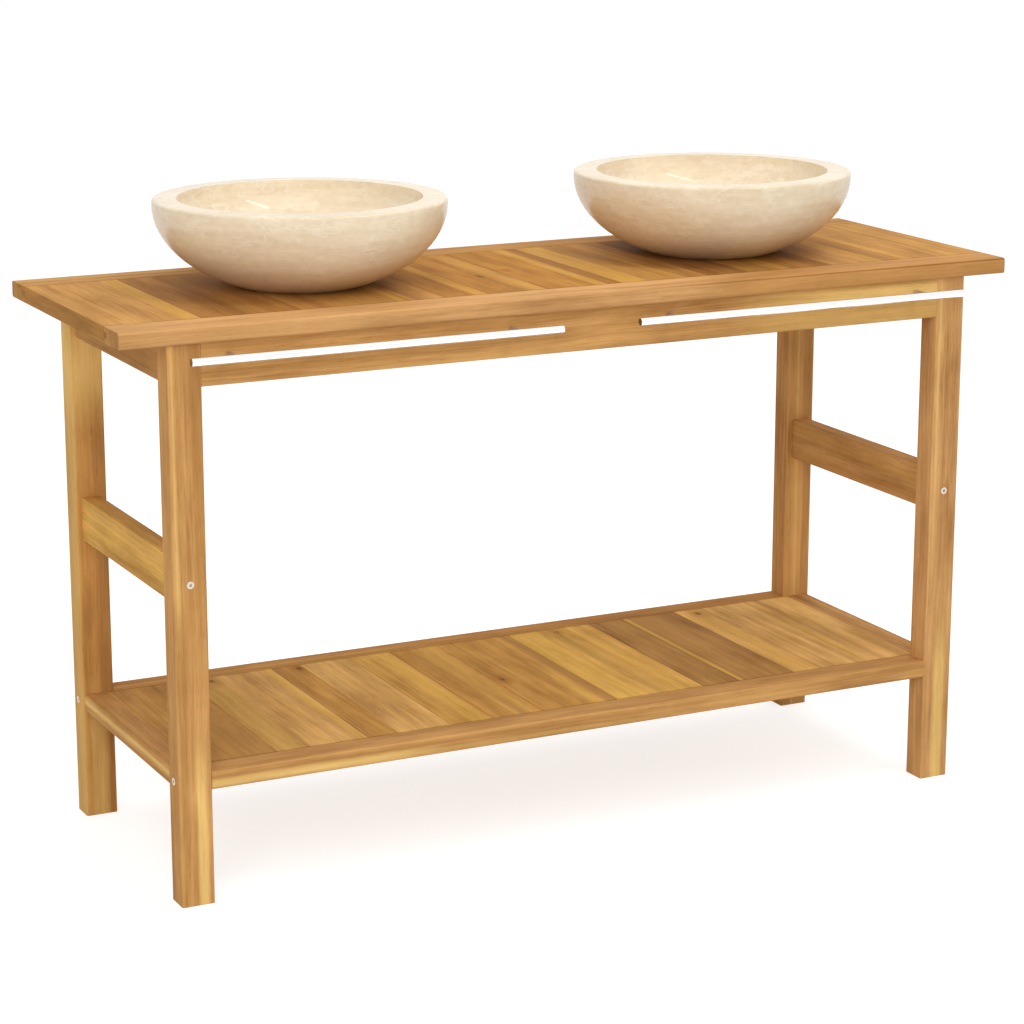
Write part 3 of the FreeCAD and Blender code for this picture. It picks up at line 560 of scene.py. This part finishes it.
def waste_plug(side, material):
    """A domed cap on a stem."""
    low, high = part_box("waste_plug_" + side)
    centre = Vector(((low[X] + high[X]) / 2, (low[Y] + high[Y]) / 2, 0))
    radius = (high[X] - low[X]) / 2
    under = high[Z] - PLUG_THICKNESS
    shoulder = high[Z] - PLUG_DOME
    plug = bmesh.new()
    outline = ((0, high[Z]), (0.55 * radius, high[Z] - 0.25 * PLUG_DOME), (radius - PLUG_EDGE, shoulder),
               (radius - 0.3 * PLUG_EDGE, shoulder - 0.3 * PLUG_EDGE), (radius, shoulder - PLUG_EDGE),
               (radius, under), (STEM_RADIUS, under), (STEM_RADIUS, low[Z]), (0, low[Z]))
    points = [plug.verts.new((centre.x + out, centre.y, height)) for out, height in outline]
    lines = [plug.edges.new(pair) for pair in zip(points, points[1:])]
    bmesh.ops.spin(plug, geom=points + lines, cent=centre, axis=(0, 0, 1), angle=math.tau,
                   steps=PLUG_STEPS_ROUND, use_merge=True)
    hand_in(plug, "plug_cap_" + side, "plug_" + side, material, "waste_plug_" + side)


# Wood of the top, board by board from the left: tone and stripes.
TOP_BOARDS = (
    ("tan", [Stripe(X, 103, 131, "gold", 0.75), Stripe(X, 34, 42, "gold", 0.4)]),
    ("brown", [Stripe(X, 44, 72, "umber", 0.5), Stripe(X, 98, 128, "amber", 0.6, reach=(-200, -60))]),
    ("tan", [
        Stripe(X, 4, 12, "honey", 0.6), Stripe(X, 30, 44, "brown", 0.6), Stripe(X, 52, 60, "honey", 0.5),
        Stripe(X, 70, 130, "olive", 0.6), Stripe(X, 136, 152, "gold", 0.75)]),
    ("tan", [Stripe(X, 5, 20, "umber", 0.65), Stripe(X, 47, 54, "umber", 0.5)]),
    ("ochre", [Stripe(X, 41, 63, "gold", 0.65)]),
    ("ochre", [
        Stripe(X, 4, 14, "umber", 0.5), Stripe(X, 40, 54, "umber", 0.4, reach=(-200, -20)),
        Stripe(X, 58, 87, "honey", 0.7), Stripe(X, 66, 84, "gold", 0.5, reach=(-240, -60))]),
    ("ochre", [Stripe(X, 73, 92, "gold", 0.65), Stripe(X, 92, 112, "umber", 0.65)]),
    ("tan", [
        Stripe(X, 3, 42, "gold", 0.75), Stripe(X, 44, 70, "olive", 0.5), Stripe(X, 84, 100, "gold", 0.4),
        Stripe(X, 112, 138, "brown", 0.5)]),
    ("umber", [Stripe(X, 36, 50, "brown", 0.6)]),
    ("olive", [Stripe(X, 44, 67, "gold", 0.6), Stripe(X, 12, 30, "tan", 0.5)]),
    ("brown", [Stripe(X, 2, 20, "amber", 0.6), Stripe(X, 38, 52, "umber", 0.4)]),
    ("tan", [Stripe(X, 72, 88, "gold", 0.65), Stripe(X, 89, 112, "brown", 0.7)]),
    ("tan", [Stripe(X, 2, 18, "gold", 0.5), Stripe(X, 84, 96, "gold", 0.4)]),
)
# Small knots of the top, by the number of the board, as y, x and radius in mm.
TOP_KNOTS = {6: ((-19, -78, 2.0),), 7: ((12, -24, 2.6),)}
# Wood of the shelf, board by board from the left: tone, stripes, and knots as y, x and radius in mm.
SHELF_BOARDS = (
    ("brown", [Stripe(X, 66, 106, "umber", 0.5)], ()),
    ("pale", [
        Stripe(X, -2, 44, "olive", 0.7), Stripe(X, 42, 46, "umber", 0.5), Stripe(X, 73, 78, "gold", 0.5),
        Stripe(X, 116, 131, "gold", 0.65)], ((170, -412, 5.0),)),
    ("amber", [Stripe(X, 1, 14, "umber", 0.5)], ((172, -277, 5.0),)),
    ("pale", [Stripe(X, 27, 32, "gold", 0.6), Stripe(X, 61, 66, "gold", 0.4)], ()),
    ("honey", [Stripe(X, 2, 6, "gold", 0.5), Stripe(X, 38, 58, "gold", 0.5)], ()),
    ("amber", [Stripe(X, 32, 72, "honey", 0.7), Stripe(X, 40, 52, "umber", 0.5, reach=(-240, -60))], ()),
    ("amber", [
        Stripe(X, 78, 97, "gold", 0.6, reach=(-240, 0)),
        Stripe(X, 97, 116, "umber", 0.6)], ((-6, -37, 4.0),)),
    ("honey", [
        Stripe(X, 1, 48, "gold", 0.65), Stripe(X, 97, 113, "gold", 0.4),
        Stripe(X, 60, 84, "olive", 0.4)], ((172, 142, 2.5),)),
    ("umber", [Stripe(X, 14, 40, "brown", 0.7)], ()),
    ("umber", [Stripe(X, -1, 8, "gold", 0.65), Stripe(X, 14, 40, "brown", 0.5)], ()),
    ("pale", [Stripe(X, 5, 45, "honey", 0.7), Stripe(X, 44, 49, "umber", 0.5)], ((166, 382, 5.0),)),
    ("pale", [
        Stripe(X, -2, 10, "gold", 0.6, reach=(-240, 40)), Stripe(X, 22, 37, "brown", 0.6, reach=(-240, 0)),
        Stripe(X, 57, 75, "brown", 0.6, reach=(-240, 0)), Stripe(X, 44, 50, "gold", 0.4)], ()),
)
# Wood of the framing: run of the grain, tone and stripes.
FRAMING = {
    "leg_front_left": (Z, "tan", [
        Stripe(X, 3, 7, "sap", 0.85, reach=(380, 760)),
        Stripe(X, 17, 33, "sap", 0.9, drift=-0.02, reach=(-80, 190)),
        Stripe(X, 30, 38, "amber", 0.5, reach=(320, 760)),
        Stripe(X, 10, 50, "brown", 0.5, reach=(650, 820))]),
    "leg_back_left": (Z, "amber", [
        Stripe(X, -6, 5, "straw", 0.8), Stripe(X, 10, 36, "straw", 0.8, reach=(-80, 180)),
        # The sap stripe high up this leg is painted light, lifting the shade under the top.
        Stripe(X, 26, 46, "brown", 0.6, reach=(200, 560)), Stripe(X, -6, 50, "sap", 1.0, reach=(600, 820))]),
    "leg_front_right": (Z, "pale", [
        Stripe(X, 4, 9, "sap", 0.8, reach=(330, 760)), Stripe(X, 16, 35, "sap", 0.95, reach=(-80, 210))]),
    "leg_back_right": (Z, "tan", [Stripe(X, 16, 21, "sap", 0.6), Stripe(X, 30, 42, "brown", 0.5)]),
    "apron_front": (X, "tan", [
        Stripe(Z, -2, 58, "straw", 0.7, reach=(250, 640)), Stripe(Z, 28, 52, "sap", 0.8, reach=(350, 640))]),
    "apron_back": (X, "tan", [Stripe(Z, 30, 44, "straw", 0.5, drift=0.01)]),
    "apron_left": (Y, "tan", [Stripe(Z, 12, 24, "amber", 0.5)]),
    "apron_right": (Y, "amber", [Stripe(Z, 36, 50, "honey", 0.5)]),
    "stretcher_left": (Y, "gold", [Stripe(Z, 40, 62, "honey", 0.5, drift=0.02)]),
    "stretcher_right": (Y, "tan", [
        Stripe(Z, -2, 16, "amber", 0.6), Stripe(Z, 36, 48, "honey", 0.5, drift=0.02)]),
    "top_rail_front": (X, "fawn", [
        Stripe(Z, -4, 26, "pale", 0.7, reach=(-700, -100)),
        Stripe(Z, -4, 26, "amber", 0.7, reach=(200, 700))]),
    "top_rail_back": (X, "tan", [Stripe(Y, 30, 48, "straw", 0.6, reach=(-700, -250))]),
    "shelf_rail_front": (X, "tan", [
        Stripe(Z, 0, 13, "sap", 0.9, reach=(-640, -250)), Stripe(Z, 1, 8, "straw", 0.6, reach=(-330, 100)),
        Stripe(Z, 13, 17, "brown", 0.6)]),
    "shelf_rail_back": (X, "amber", [Stripe(Y, 10, 20, "straw", 0.6, reach=(-640, -100))]),
    "shelf_rail_left": (Y, "tan", [Stripe(Z, 9, 20, "sap", 0.85)]),
    "shelf_rail_right": (Y, "tan", [Stripe(X, 6, 12, "umber", 0.5), Stripe(X, 22, 28, "straw", 0.5)]),
}
# Pieces whose upper front arris is dark with oil, and from where along the grain in mm.
DARK_ARRISES = {"top_rail_front": 100}
# Casts of colour: the top is painted a little deeper than the tones say, as painted shade for the strong
# light from above, and the shelf paler, as painted light for the shade under the top.
TOP_PAINTED_SHADE = (0.96, 0.95, 0.88)
SHELF_PAINTED_LIGHT = (1.26, 1.38, 1.28)
FRAMING_CAST = (1.02, 1.04, 1.12)

for number, (tone, stripes) in enumerate(TOP_BOARDS, start=1):
    board = "top_board_%02d" % number
    dress(board, oiled_wood(board, Y, tone, TOP_PAINTED_SHADE, stripes, TOP_KNOTS.get(number, ()), joint_sides=True))
for number, (tone, stripes, knots) in enumerate(SHELF_BOARDS, start=1):
    board = "shelf_board_%02d" % number
    dress(board, oiled_wood(board, Y, tone, SHELF_PAINTED_LIGHT, stripes, knots, joint_sides=True))
for member, (run, tone, stripes) in FRAMING.items():
    dress(member, oiled_wood(member, run, tone, FRAMING_CAST, stripes, dark_arris=DARK_ARRISES.get(member)))

polished_steel = drawn_metal("polished_steel", tint(253, 253, 252), 0.15, run=X, spread=0.04)
post_steel = drawn_metal("grey_post_steel", tint(218, 211, 204), 0.50)
bolt_steel = drawn_metal("pale_bolt_steel", tint(226, 214, 198), 0.45)
zinc_plate = drawn_metal("zinc_plate", tint(196, 198, 202), 0.40, spread=0.16)
chrome_plate = drawn_metal("chrome_plate", tint(226, 228, 230), 0.08, spread=0.04)
black_rubber = soft_polymer("black_rubber", tint(34, 34, 35), 0.62)
white_plastic = soft_polymer("white_plastic", tint(226, 226, 221), 0.45)

for side in SIDES:
    stone_bowl(side)
    towel_bar(side, polished_steel)
    waste_plug(side, chrome_plate)
    dress("waste_body_" + side, chrome_plate)
    dress("plug_seal_" + side, black_rubber)
for fitting, material in (("towel_bar_posts", post_steel), ("frame_bolts", bolt_steel),
                          ("towel_post_screws", zinc_plate), ("top_screws", zinc_plate),
                          ("barrel_nuts", zinc_plate), ("waste_lock_nuts", chrome_plate),
                          ("flange_seals", black_rubber), ("waste_washers", black_rubber),
                          ("plug_guides", white_plastic)):
    dress(fitting, material)

# The floor lies this far below the feet, and reaches this far.
FLOOR_DROP = 0.2 * MM
FLOOR_REACH = 60.0
FLOOR_BOUNCE = (0.80, 0.80, 0.79, 1.0)
FLOOR_SHADOWED = (0.55, 0.55, 0.55, 1.0)
FLOOR_GLOW = 0.70
SKY_LIGHT = (1.0, 0.985, 0.96, 1.0)
SKY_STRENGTH = 0.60


def white_floor():
    """A seamless white floor that keeps the stand's shadow."""
    sheet = bmesh.new()
    bmesh.ops.create_grid(sheet, x_segments=1, y_segments=1, size=FLOOR_REACH,
                          matrix=Matrix.Translation((0, 0, -FLOOR_DROP)))
    mesh = bpy.data.meshes.new("studio_floor")
    sheet.to_mesh(mesh)
    sheet.free()
    finish = Finish(bpy.data.materials.new("white_studio_floor"))
    bounce = finish.node("ShaderNodeBsdfDiffuse", {}, {"Color": FLOOR_BOUNCE})
    shadowed = finish.node("ShaderNodeBsdfDiffuse", {}, {"Color": FLOOR_SHADOWED})
    glow = finish.node("ShaderNodeEmission", {}, {"Color": WHITE, "Strength": FLOOR_GLOW})
    white = finish.node("ShaderNodeAddShader", {}, {0: shadowed, 1: glow})
    shown = finish.node("ShaderNodeMixShader", {}, {0: finish.in_sight(), 1: bounce, 2: white})
    finish.node("ShaderNodeOutputMaterial", {}, {"Surface": shown})
    mesh.materials.append(finish.owner)
    floor = bpy.data.objects.new("studio_floor", mesh)
    bpy.context.scene.collection.objects.link(floor)


def white_sky():
    """Even light from all round, in front of a white backdrop."""
    world = bpy.data.worlds.new("white_studio")
    bpy.context.scene.world = world
    finish = Finish(world)
    light = finish.node("ShaderNodeBackground", {}, {"Color": SKY_LIGHT, "Strength": SKY_STRENGTH})
    backdrop = finish.node("ShaderNodeBackground", {}, {"Color": WHITE, "Strength": 1.0})
    shown = finish.node("ShaderNodeMixShader", {}, {0: finish.in_sight(), 1: light, 2: backdrop})
    finish.node("ShaderNodeOutputWorld", {}, {"Surface": shown})


def softbox(name, place, aim, along, length, width, watts, mirrored=False):
    """A lamp with its long side along a direction, turned to what it lights, mirrored in polish or not."""
    lamp = bpy.data.lights.new(name, "AREA")
    lamp.shape = "RECTANGLE"
    lamp.size = length
    lamp.size_y = width
    lamp.energy = watts
    back = (Vector(place) - Vector(aim)).normalized()
    side = (Vector(along) - back * back.dot(Vector(along))).normalized()
    holder = bpy.data.objects.new(name, lamp)
    turn = Matrix((side, back.cross(side), back)).transposed()
    holder.location = place
    holder.rotation_euler = turn.to_euler()
    holder.visible_glossy = mirrored
    bpy.context.scene.collection.objects.link(holder)


# The camera: sensor and lens in mm, place in metres, and how far it looks down and to the right in degrees.
SENSOR_WIDTH, LENS = 36.0, 102.82
CAMERA_PLACE = (-1.7967, -3.5818, 1.4211)
CAMERA_DOWN, CAMERA_RIGHT = 14.022, 26.392


def picture_camera():
    """A camera that sees the stand from the photograph's side."""
    eye = bpy.data.cameras.new("picture_camera")
    eye.sensor_width = SENSOR_WIDTH
    eye.lens = LENS
    holder = bpy.data.objects.new("picture_camera", eye)
    holder.location = CAMERA_PLACE
    holder.rotation_euler = (math.radians(90.0 - CAMERA_DOWN), 0.0, math.radians(-CAMERA_RIGHT))
    bpy.context.scene.collection.objects.link(holder)
    bpy.context.scene.camera = holder


white_floor()
white_sky()
softbox("front_softbox", place=(-2.3, -3.2, 2.4), aim=(0.0, 0.0, 0.6), along=(1.0, 0.0, 0.0),
        length=2.4, width=2.4, watts=64.0)
softbox("top_softbox", place=(0.6, 0.4, 3.4), aim=(0.0, 0.0, 0.6), along=(1.0, 0.0, 0.0),
        length=2.6, width=2.6, watts=28.0)
softbox("strip_lamp", place=(1.0, -1.74, 3.5), aim=(0.0, 0.2, 0.85), along=(0.94, -0.64, -0.8),
        length=1.5, width=0.22, watts=22.0, mirrored=True)
picture_camera()
bpy.context.scene.view_settings.view_transform = "Standard"
